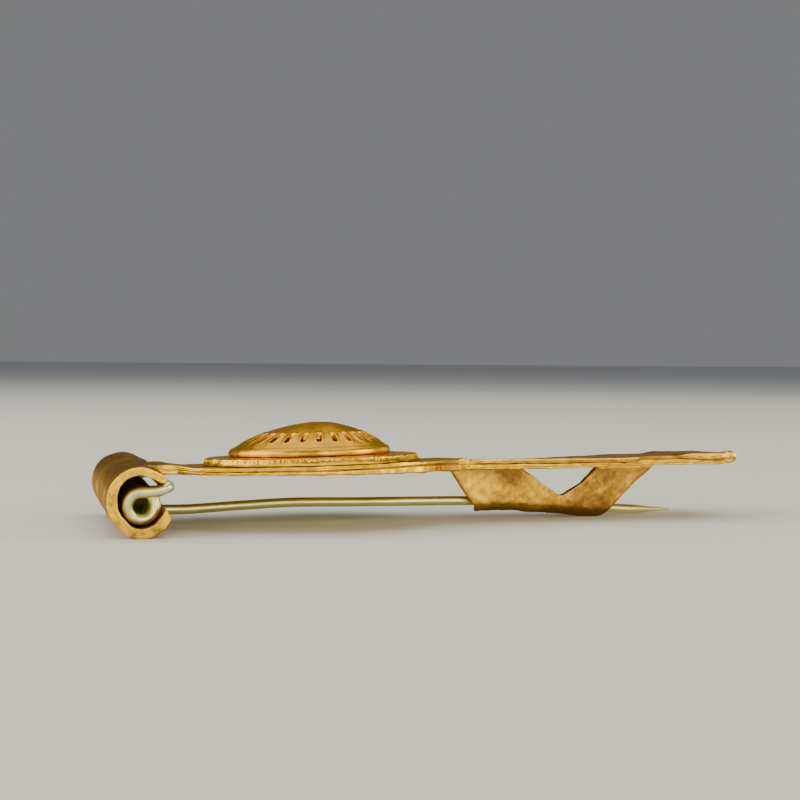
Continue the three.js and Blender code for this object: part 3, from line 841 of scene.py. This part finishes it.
# %% Spring
SPRING_R, WIRE, SPRING_X, SPRING_Z = 1.42, 0.6, 0.1, 3.18  # of the coil, of the wire, and the axis
INNER, OUTER, TURNS, PER_TURN = 1.3, 11.0, 7.5, 24
CHORD_X, CHORD_Z = 2.8, 4.9
BEND = [  # from the coil's end to the chord, measured from the chord's level end
    (-1.9, 0, -0.27), (-1.1, 0, -0.2), (-0.42, 0.1, 0.05), (-0.08, 0.5, 0.13), (0, 1.1, 0.15),
    (0, 2.5, 0.105), (0, OUTER / 2, 0), (0, OUTER * 3 / 4, 0),
]


def spring_path():
    """A circle that moves out as it turns, then the bend, the chord, and the same mirrored."""
    turn = np.arange(int(TURNS * PER_TURN) + 1) / PER_TURN
    a = np.radians(-90) - turn * 2 * np.pi
    y = -mix(INNER, OUTER, turn / TURNS)
    coil = np.stack([SPRING_R * np.cos(a), y, SPRING_Z + SPRING_R * np.sin(a)], -1)
    half = np.concatenate([coil, np.array(BEND) + [CHORD_X, -OUTER, CHORD_Z]])
    whole = np.concatenate([half, [[CHORD_X, 0, CHORD_Z]], half[::-1] * [1, -1, 1]])
    whole[:, 0] += SPRING_X + skew(whole[:, 1])
    return smooth_path(whole, 3)


path = spring_path()
axis = np.stack([SPRING_X + skew(path[:, 1]), path[:, 1], np.full(len(path), SPRING_Z)], -1)
spring = skin("coiled_spring", wire_grid(path, WIRE, path - axis, 16))
print("spring:", 2 * TURNS, "turns,", len(path), "rings")

# %% [markdown]
# ## The pin
# The pin leaves the spring in part of a turn round its axis, runs out through the notch, and lies
# in the catch with its point. It is the same wire, but it swings by itself, so it is a piece of
# its own. Its shank isn't straight: it was bent by hand, and passes through measured points.

# %% Pin
PIN_TIP, POINT_START, PIN_TURN = 63.1, 58.5, 258
PIN_R, SHANK_R, SHANK_FULL, TIP_R = 0.58, 0.53, 8, 0.09  # the turn, the shank from x = 8 on, the tip
SHANK = [(0.9, 1.74), (5.9, 1.66), (12, 1.97), (18, 2.2), (25, 2.12), (35.7, 2.05), (41, 1.94),
         (46, 1.6), (52, 1.1), (57, 0.76), (60, 0.64), (PIN_TIP, 0.56)]
SPAN, TURN_POINTS = 12, 22


def pin_path():
    """An arc round the spring's axis, then the shank's points, as one smooth curve."""
    a = np.radians(np.linspace(0, PIN_TURN, TURN_POINTS))
    turn = np.stack([PIN_TURN_X + SPRING_R * np.cos(a), 0 * a, SPRING_Z + SPRING_R * np.sin(a)], -1)
    return smooth_path(np.concatenate([turn, np.insert(np.array(SHANK, float), 1, 0, axis=1)]), SPAN)


def pin_radius(x):
    """The turn's radius, then the shank's, then down to the tip's over the length of the point."""
    point = np.clip((x - POINT_START) / (PIN_TIP - POINT_START), 0, 1) ** 0.9
    radius = mix(mix(PIN_R, SHANK_R, np.clip(x / SHANK_FULL, 0, 1)), TIP_R, point)
    radius[: TURN_POINTS * SPAN] = PIN_R
    return radius


path = pin_path()
sideways = np.broadcast_to([0.0, 1, 0], path.shape)
pin_wire = skin("pin_wire", wire_grid(path, pin_radius(path[:, 0]), sideways, 18))
print("pin:", len(path), "rings, to a tip", 2 * TIP_R, "mm thick")

# %% [markdown]
# ## Hammered
# The case was hammered round the spring and gouged by a tool, and no cast face is flat. A bump in
# the finish catches the light, but leaves the outline smooth. So these larger dents are pushed
# into the surface, each point along its own normal, and the finish adds only what is finer.

# %% Hammer the body
CAST, CAST_FINE, CALM = 0.035, 0.02, (0.6, 0.3)  # swells, smaller ones, and what the case keeps of them
FEET, FEET_SHARE = 0.35, 0.15  # below this height, where it rests, little is moved
GOUGES = [  # middle, spread and depth of each hollow that a tool left in the case
    ((-3.2, -1.6, 2.95), 1.1, 0.26), ((-3.0, 5.5, 3.2), 1.2, 0.2), ((-3.3, -7.0, 4.0), 0.7, 0.1),
]
GOUGE_SHAPE = np.array([1, 1, 0.7])  # a little longer round the case than along it


def normals_of(made):
    """The direction straight out of the surface at each point."""
    out = np.empty(len(made.data.vertices) * 3)
    made.data.vertices.foreach_get("normal", out)
    return out.reshape(-1, 3)


def gouge(at, centre, spread):
    """A hump of height 1 by the distance from a gouge's middle."""
    return bell(np.linalg.norm((at - centre) * GOUGE_SHAPE, axis=1), 0, spread)


def body_relief(at):
    """Swells all over, hammer marks on the case, fine pits on its end, and less the gouges."""
    on_case = 1 - ease(at[:, 0], 3.0, 5.0)
    end_face = on_case * ease(-at[:, 1], 11.7, 11.9)
    marks = on_case * (0.02 * waves(at, 1.9, 46) - 0.03 * np.clip(waves(at, 2.2, 47), 0, 1.5))
    kept = mix(1, mix(*CALM, ease(-at[:, 1], 9.5, 11.7)), on_case)
    relief = (CAST * waves(at, 3.2, 41) + CAST_FINE * waves(at, 1.1, 42) + marks) * kept
    relief += end_face * 0.014 * waves(at, 0.5, 48, 40)
    relief *= np.where(at[:, 2] < FEET, FEET_SHARE, 1)
    return relief - sum(deep * gouge(at, centre, spread) for centre, spread, deep in GOUGES)


at = points_of(body)
relief = body_relief(at)
write_points(body, at + normals_of(body) * relief[:, None])
print("relief of the body:", round(float(relief.min()), 3), "to", round(float(relief.max()), 3), "mm")

# %% Hammer the rest
SWELL_REST = 0.012

for made, seed in ((disc, 43), (dome, 44), (overlay, 45)):
    at = points_of(made)
    swell = SWELL_REST * waves(at, 1.8, seed)
    write_points(made, at + normals_of(made) * swell[:, None])
    print(made.name, "moved by up to", round(float(np.abs(swell).max()), 3), "mm")

# %% [markdown]
# ## Where shade is painted
# Shade is painted into the colour in the grooves and along the seam, where hollows keep the light
# out. The finish could look for hollows by itself, with an ambient occlusion node, but that is slow
# and knows nothing of how the piece was made. The seam and the grooves are functions already, so
# they are asked again.

# %% Seam and grooves
def along_seam(at, offset):
    """A hump of painted shade along the foot's seam, at an offset up from it."""
    x, y, z = at.T
    height = z + y * np.sin(TWIST) - seam(x)
    return bell(height, offset, 0.13) * ease(x, 36.5, 37.5)


def in_groove(at):
    """Two humps across the plate's edge, where its grooves are, with the twist undone."""
    x, y, z = at.T
    low, top = plate_low(x), plate_top(x)
    level = (z + y * np.sin(TWIST) - low) / (top - low) * 2 - 1
    first, second = groove_course(x), groove_course(x) - SECOND_GROOVE
    humps = bell(level, first, 0.2) + 0.5 * bell(level, second, 0.12)
    return humps * ease(x, 4, 9) * (1 - ease(x, 32.5, 34))


at = points_of(body)
print("points of the body in a groove:", int((in_groove(at) > 0.5).sum()))

# %% [markdown]
# ## Patina, painted shade and painted highlights
# The case is browned with patina. Shade is painted low on the catch, under the foot, on faces that
# look up or down, and in grooves, and highlights are painted on the edges and the end of the case.
# All this could be painted by hand. Instead each place is a number from 0 to 1, made of humps and
# steps, and the colour is a sum of places, so a patch is easily moved.

# %% Places on the body
def places_on(at, out):
    """Each place as a product of steps and humps along, across and up: 1 within it, 0 outside."""
    x, y, z = at.T
    near_end = ease(-y, 11.75, 11.9)
    catch_face = ease(x, 34.5, 36.5) * (1 - ease(z, 5.5, 5.9))
    # Upright faces, which get a painted highlight and less brown.
    edge = ease(1 - np.abs(out[:, 2]), 0.3, 0.8) * (1 - catch_face) * ease(x, 1.5, 3.5)
    return {
        "near end": near_end,
        "case": (1 - ease(x, 3.0, 5.5)) * (1 - near_end),
        "catch": catch_face,
        "edge": edge,
        # Painted shade on the waist's edge, which turns away from the light, in place of its highlight.
        "waist": ease(x, 33.0, 33.8) * (1 - ease(x, 35.2, 35.5)) * edge,
        # Painted shade on the catch under the foot.
        "under the foot": bell(x, 42.6, 1.8) * bell(z, 4.9, 1.0),
        # A painted highlight on the catch: a lit patch, made lighter and less brown.
        "catch highlight": bell(x, 39.0, 2.6) * bell(z, 3.4, 1.6),
        # Painted shade along the seam and in the plate's grooves, on the edges.
        "shade in hollows": (0.5 * along_seam(at, -0.1) + 0.75 * in_groove(at)) * edge,
        "rim": np.abs(np.hypot(x - 0.3 * skew(y), z - CASE_Z) - CASE_R + 0.05) < 0.22,
    }


places = places_on(at, normals_of(body))
print("points in each place:", {name: int((share > 0.5).sum()) for name, share in places.items()})

# %% Patina, painted shade and painted highlights of the body
def brown_of_body(at, out, on):
    """Patina all over and most on the case, mottling on the catch and the case's end, and painted shade."""
    x, _, z = at.T
    # Besides patina on the case, faces that look up or down get painted shade.
    brown = 0.2 + 0.42 * on["case"] + 0.2 * ease(np.abs(out[:, 2]), 0.5, 0.9)
    # Painted shade: the catch darkens low down, where it curls under the pin. It also grows darker towards
    # its far end.
    low = 0.35 * (1 - ease(z, 0.5, 2.4)) + 0.4 * ease(x, 46, 52)
    brown += on["catch"] * (0.14 + low + 0.5 * on["under the foot"] - 0.3 * on["catch highlight"])
    brown += 0.3 * on["near end"] * (waves(at, 1.1, 61) + waves(at, 0.5, 62, 40))
    brown += 0.12 * on["catch"] * waves(at, 0.6, 63, 40)
    # Painted shade and light on the case's end: darker low down, lighter higher up.
    brown += on["near end"] * (0.4 * (1 - ease(z, 0.3, 2.8)) - 0.2)
    return brown + 0.7 * on["waist"] - 0.25 * on["edge"] + on["shade in hollows"]


def highlight_of_body(at, on):
    """Painted highlight on edges, up the case's end and its rim, on a patch of the catch and in gouges."""
    highlight = 0.85 * on["edge"] * (1 - on["waist"]) + 0.5 * on["catch"] * on["catch highlight"] - on["shade in hollows"]
    # Painted highlight up the case's end, strongest on its rim.
    highlight += on["near end"] * ease(at[:, 2], 0, 3) * (0.6 + 0.4 * on["rim"])
    # Painted highlight in each gouge.
    return highlight + sum(1.3 * gouge(at, centre, 0.8 * spread) for centre, spread, _ in GOUGES)


def patina_shade_and_highlight_of_body(at, out):
    """Patina on the case; painted shade under the foot and low on the catch; painted highlight on edges."""
    on = places_on(at, out)
    return brown_of_body(at, out, on), highlight_of_body(at, on)


brown, highlight = patina_shade_and_highlight_of_body(at, normals_of(body))
print("body, on average: brown", round(float(brown.mean()), 2), "and bright", round(float(highlight.mean()), 2))

# %% Paint patina, painted shade and painted highlights
def patina_shade_and_highlight_of_rest(at, out):
    """Painted shade on the foot's upward faces and by the seam; painted highlight on front and back faces."""
    # Painted shade on faces of the foot that look up.
    upwards = ease(out[:, 2], 0.75, 0.98) * ease(at[:, 0], 34, 36)
    # Painted highlight on faces turned to the front or back.
    edge = ease(np.abs(out[:, 1]), 0.6, 0.95)
    # Painted shade along the seam.
    seam_shade = along_seam(at, 0.14)
    return 0.08 + 0.45 * upwards + 0.6 * seam_shade * edge, 0.7 * edge * (1 - seam_shade)


def painted(made, name, values):
    """Keeps one number for each point, from 0 to 1, under a name that the finish reads."""
    layer = made.data.attributes.new(name, "FLOAT", "POINT")
    layer.data.foreach_set("value", np.clip(values, 0, 1).astype(np.float32))


for made, patina_shade_and_highlight_of, seed in (
    (body, patina_shade_and_highlight_of_body, 51), (disc, patina_shade_and_highlight_of_rest, 52), (dome, patina_shade_and_highlight_of_rest, 53), (overlay, patina_shade_and_highlight_of_rest, 54),
):
    at = points_of(made)
    brown, highlight = patina_shade_and_highlight_of(at, normals_of(made))
    painted(made, "patina_and_shade", brown + 0.14 * waves(at, 4, seed) + 0.07 * waves(at, 1.2, seed + 5))
    painted(made, "painted_highlight", highlight + 0.12 * waves(at, 1.4, seed + 10))
    print(made.name, "painted on", len(at), "points")

# %% [markdown]
# ## Building a finish
# A finish is a small net of nodes that ends in Blender's Principled shader. It could be drawn by
# hand in the shader editor. Written as functions, each kind of node is set up once, and the net
# reads like a recipe. All noise follows the object's own coordinates, so it moves with the piece.

# %% Nodes
def nodes_of(name):
    """A new material, its tree of nodes, and its shader."""
    made = bpy.data.materials.new(name)
    made.use_nodes = True
    return made, made.node_tree, made.node_tree.nodes["Principled BSDF"]


def feed(tree, socket, value):
    """Links another node's output into a socket, or sets the socket to a plain value."""
    if hasattr(value, "is_linked"):
        tree.links.new(value, socket)
    else:
        socket.default_value = value


def node(tree, kind, settings=(), **sockets):
    """Adds a node, with its settings, and feeds its sockets by name."""
    made = tree.nodes.new(kind)
    for setting, value in dict(settings).items():
        setattr(made, setting, value)
    for socket, value in sockets.items():
        feed(tree, made.inputs[socket], value)
    return made


def noise(tree, scale, detail=4.0, roughness=0.55, stretch=(1, 1, 1)):
    """Noise, with scale as its repeats to the metre, drawn out along an axis by less than 1."""
    where = node(tree, "ShaderNodeTexCoord").outputs["Object"]
    drawn = node(tree, "ShaderNodeMapping", Vector=where, Scale=stretch).outputs["Vector"]
    made = node(tree, "ShaderNodeTexNoise", Vector=drawn, Scale=scale, Detail=detail, Roughness=roughness)
    return made.outputs["Fac"]


def ramp(tree, source, *stops):
    """A colour that goes from stop to stop, each (place, colour), as the source goes from 0 to 1."""
    made = node(tree, "ShaderNodeValToRGB", Fac=source)
    elements = made.color_ramp.elements
    for element, (place, colour) in zip(elements, stops):
        element.position, element.color = place, (*colour, 1)
    return made.outputs["Color"]


def worked_out(tree, how, a, b):
    """The sum or the product of two numbers, either of which may be another node's output."""
    made = node(tree, "ShaderNodeMath", {"operation": how})
    for socket, value in zip(made.inputs, (a, b)):
        feed(tree, socket, value)
    return made.outputs[0]


def blended(tree, share, a, b):
    """The colour a, and by the share the colour b."""
    return node(tree, "ShaderNodeMix", {"data_type": "RGBA"}, Factor=share, A=a, B=b).outputs["Result"]


def bump(tree, height, strength, distance):
    """A surface that seems raised by a height from 0 to 1, times a distance in metres."""
    return node(tree, "ShaderNodeBump", Height=height, Strength=strength, Distance=distance).outputs["Normal"]


print("noise repeats are given to the metre: 1000 is one to the millimetre")

# %% [markdown]
# ## Brass
# The brass is one alloy in three looks: plain, browned, and bright. The brown is partly patina and
# partly painted shade, and the bright is painted highlight. Three materials with borders between
# them would look cut out. So one material goes from plain to brown by the painted number and some
# noise at the scale of tool marks, and then to the highlight colour. At a glancing angle brass
# stays golden, so the shader's edge tint is golden too.

# %% Brass
CLOUDS, TOOL_MARKS, GLINT_SPOTS, SHEEN, SCRATCHES, PITS = 420, 2600, 2200, 900, 1300, 5200  # to the metre
ACROSS = (0.6, 0.8, 1)  # scratches are drawn out along the brooch
NONE, ALL = (0, 0, 0), (1, 1, 1)
EDGE_TINT = (0.85, 0.62, 0.32)  # how brass reflects at a glancing angle
RELIEF, RELIEF_DEPTH = 0.45, 0.00012


def shade(colour, share):
    """The colour with each part of it made smaller."""
    return [share * part for part in colour]


def brass_colour(tree, plain, dark, highlight):
    """Plain metal, to brown by painted patina and shade with noise, to painted highlight by noise."""
    patina_and_shade, painted_highlight = (
        node(tree, "ShaderNodeAttribute", {"attribute_name": name}).outputs["Fac"]
        for name in ("patina_and_shade", "painted_highlight")
    )
    fine = noise(tree, TOOL_MARKS, 5, 0.65)
    base = ramp(tree, noise(tree, CLOUDS), (0.3, shade(plain, 0.82)), (0.7, plain))
    # The painted brown number is patina on the case and painted shade elsewhere.
    uneven = worked_out(tree, "ADD", patina_and_shade, worked_out(tree, "MULTIPLY", fine, 0.35))
    brown = ramp(tree, worked_out(tree, "MULTIPLY", uneven, 0.85), (0.15, NONE), (0.85, ALL))
    dark_colour = ramp(tree, fine, (0.3, shade(dark, 0.7)), (0.75, dark))
    # Painted highlight: the bright colour comes in by the painted highlight number times noise.
    glint = worked_out(tree, "MULTIPLY", painted_highlight, noise(tree, GLINT_SPOTS, 4))
    glint = ramp(tree, glint, (0.12, NONE), (0.5, ALL))
    return blended(tree, glint, blended(tree, brown, base, dark_colour), (*highlight, 1))


def brass(name, plain, dark, highlight, rough):
    """The colour, a roughness that varies about one value, and scratches with pits as a bump."""
    made, tree, shader = nodes_of(name)
    wear = worked_out(tree, "MULTIPLY", noise(tree, SHEEN, 4), 0.22)
    scratches = worked_out(tree, "MULTIPLY", noise(tree, SCRATCHES, 5, 0.65, ACROSS), 0.7)
    pits = worked_out(tree, "MULTIPLY", noise(tree, PITS, 3, 0.6), 0.3)
    relief = worked_out(tree, "ADD", scratches, pits)
    feed(tree, shader.inputs["Base Color"], brass_colour(tree, plain, dark, highlight))
    feed(tree, shader.inputs["Metallic"], 1.0)
    feed(tree, shader.inputs["Specular Tint"], (*EDGE_TINT, 1))
    feed(tree, shader.inputs["Roughness"], worked_out(tree, "ADD", rough - 0.08, wear))
    feed(tree, shader.inputs["Normal"], bump(tree, relief, RELIEF, RELIEF_DEPTH))
    return made


# The colour of the painted highlights on edges and faces.
HIGHLIGHT_COLOUR = (1.0, 0.64, 0.03)
finishes = {
    "browned_brass": brass("browned brass", (0.84, 0.46, 0.045), (0.30, 0.15, 0.04), HIGHLIGHT_COLOUR, 0.31),
    "brass": brass("punched brass", (0.92, 0.53, 0.05), (0.30, 0.14, 0.03), HIGHLIGHT_COLOUR, 0.25),
    "bright_brass": brass("rubbed brass", (0.88, 0.49, 0.06), (0.30, 0.15, 0.035), HIGHLIGHT_COLOUR, 0.26),
}
print("brass:", len(finishes), "finishes")

# %% [markdown]
# ## Steel
# The wire was drawn through a hole, which leaves fine streaks along it, and its grey has a yellow
# cast. Anisotropy would spread the glints, but the streaks themselves would be missing. Noise that
# is drawn out along the pin gives both colour and bump their streaks.

# %% Steel
STEEL_DULL, STEEL_CLEAR = (0.70, 0.66, 0.33), (0.92, 0.88, 0.50)
STREAKS, SMEARS, DRAWN = 900, 1800, 3000  # to the metre


def steel(name):
    """Dull to clear steel, and its bump, by noise drawn out along the wire; roughness by noise."""
    made, tree, shader = nodes_of(name)
    streaks = noise(tree, STREAKS, 4, 0.6, (0.2, 1, 1))
    smears = worked_out(tree, "MULTIPLY", noise(tree, SMEARS, 3), 0.2)
    lines = noise(tree, DRAWN, 3, 0.6, (0.3, 1, 1))
    feed(tree, shader.inputs["Base Color"], ramp(tree, streaks, (0.3, STEEL_DULL), (0.7, STEEL_CLEAR)))
    feed(tree, shader.inputs["Metallic"], 1.0)
    feed(tree, shader.inputs["Roughness"], worked_out(tree, "ADD", 0.26, smears))
    feed(tree, shader.inputs["Normal"], bump(tree, lines, 0.2, 0.0001))
    return made


finishes["steel_wire"] = steel("drawn steel wire")
print("finishes:", ", ".join(finishes))

# %% [markdown]
# ## Into the frame
# So far a piece's numbers are millimetres from the spring's axis. The frame is in metres from the
# middle of the brooch. Moving the objects would do for a picture, but a finished piece has its
# place in its mesh, so the points are moved. Each piece then rides on its body, stands for its
# solid, and takes its finish.

# %% Place the pieces
SHARP = np.radians(38)  # edges sharper than this stay sharp
to_frame = Matrix.Translation((AXIS_X / MM, 0, 0)) @ Matrix.Scale(1 / MM, 4)
PIECES = (
    (body, "body", "brooch", "browned_brass"),
    (disc, "disc", "brooch", "brass"),
    (dome, "dome", "brooch", "bright_brass"),
    (overlay, "foot_overlay", "brooch", "bright_brass"),
    (spring, "spring", "brooch", "steel_wire"),
    (pin_wire, "pin", "pin", "steel_wire"),
)
for made, stands_for, rides_on, slot in PIECES:
    made.data.transform(to_frame)
    low, high = (np.array(corner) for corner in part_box(stands_for))
    write_points(made, np.clip(points_of(made), low, high))
    made.data.shade_smooth()
    made.data.set_sharp_from_angle(angle=SHARP)
    made.data.materials.clear()
    made.data.materials.append(finishes[slot])
    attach(made, rides_on)
    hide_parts(stands_for)
    print(made.name, "stands for", stands_for, "with", len(made.data.polygons), "faces")

# %% [markdown]
# ## Camera
# The brooch is seen from its side, from a little towards the head and a little above the table,
# with the slight roll of a hand-held shot. A camera can be set by three turns, but they are hard
# to picture. Here its three directions, right, up and forwards, are worked out and put together.

# %% Camera
CAMERA_AT, LENS, SENSOR = (-0.04854, -0.16165, 0.01839), 67.5, 36  # metres, millimetres
AIM, DIP, ROLL = np.radians(15.8), np.arctan(44 / 1500), np.radians(0.5)  # it looks down 44 mm in 1.5 m
look = Vector((np.sin(AIM) * np.cos(DIP), np.cos(AIM) * np.cos(DIP), -np.sin(DIP)))
right = Vector((np.cos(AIM), -np.sin(AIM), 0))
up = right.cross(look)
right, up = np.cos(ROLL) * right + np.sin(ROLL) * up, np.cos(ROLL) * up - np.sin(ROLL) * right
camera = bpy.data.objects.new("camera", bpy.data.cameras.new("camera"))
bpy.context.scene.collection.objects.link(camera)
directions = Matrix((right, up, -look)).transposed().to_4x4()
camera.matrix_world = Matrix.Translation(CAMERA_AT) @ directions
camera.data.sensor_width, camera.data.lens = SENSOR, LENS
camera.data.clip_start, camera.data.clip_end = 0.005, 20
bpy.context.scene.camera = camera
print("camera:", round(Vector(CAMERA_AT).length * MM), "mm from the middle of the brooch")

# %% [markdown]
# ## Floor
# The brooch lies on a plain pale table, which also lights it from below. The table could be pure
# white, but a slightly cool grey keeps the gold apart from it. It is far larger than the brooch, so
# its edge is only a level line a long way behind.

# %% Floor
FLOOR_SIZE, FLOOR_DARK, FLOOR_PALE = 6, (0.66, 0.68, 0.72), (0.70, 0.72, 0.76)
bpy.ops.mesh.primitive_plane_add(size=FLOOR_SIZE, location=(0, 0, 0))
floor = bpy.context.object
floor.name = "floor"
paint, tree, shader = nodes_of("pale floor")
feed(tree, shader.inputs["Base Color"], ramp(tree, noise(tree, 3, 2), (0.3, FLOOR_DARK), (0.7, FLOOR_PALE)))
feed(tree, shader.inputs["Roughness"], 0.9)
floor.data.materials.append(paint)
print("floor:", FLOOR_SIZE, "m square")

# %% [markdown]
# ## Light
# Metal shows what stands round it. One small lamp would give a few white dots and leave the rest
# black, and light from all sides would look flat. So six soft panels stand round the brooch, with
# dimmer gaps between them: a large one at the left and one overhead are the strongest, and four
# weaker ones fill in. They are warm, as brass is, and hidden from the camera. The world adds a
# little light from everywhere.

# %% Light
WARM, WARMER, WARMEST = (1.0, 0.94, 0.76), (1.0, 0.94, 0.74), (1.0, 0.93, 0.45)
BROOCH = (0, 0, 0.005)
PANELS = (  # name, place, what it faces, size in metres, power in watts, colour
    ("left panel", (-0.48, 0.08, 0.17), BROOCH, 0.60, 3.6, WARM),
    ("front left panel", (-0.29, -0.40, 0.12), BROOCH, 0.28, 0.7, WARMEST),
    ("right panel", (0.47, -0.16, 0.14), BROOCH, 0.28, 1.2, WARMEST),
    ("back panel", (0.49, 0.33, 0.12), BROOCH, 0.24, 0.3, WARM),
    ("front panel", (0.14, -0.48, 0.12), (0.01, 0, 0.005), 0.36, 1.35, WARMEST),
    ("top panel", (0.03, 0.12, 0.60), (0, 0, 0), 0.80, 2.9, WARMER),
)
SKY, SKY_STRENGTH = (0.75, 0.76, 0.78), 0.27

for name, where, facing, size, power, colour in PANELS:
    lamp = bpy.data.objects.new(name, bpy.data.lights.new(name, "AREA"))
    lamp.data.shape = "SQUARE"
    lamp.data.size, lamp.data.energy, lamp.data.color = size, power, colour
    lamp.location = where
    lamp.rotation_mode = "QUATERNION"
    lamp.rotation_quaternion = (Vector(facing) - Vector(where)).to_track_quat("-Z", "Y")
    lamp.visible_camera = False
    bpy.context.scene.collection.objects.link(lamp)

world = bpy.data.worlds.new("studio")
bpy.context.scene.world = world
world.use_nodes = True
sky = world.node_tree.nodes["Background"]
sky.inputs["Color"].default_value = (*SKY, 1)
sky.inputs["Strength"].default_value = SKY_STRENGTH
print("light:", len(PANELS), "panels,", round(sum(row[4] for row in PANELS), 2), "watts in all")
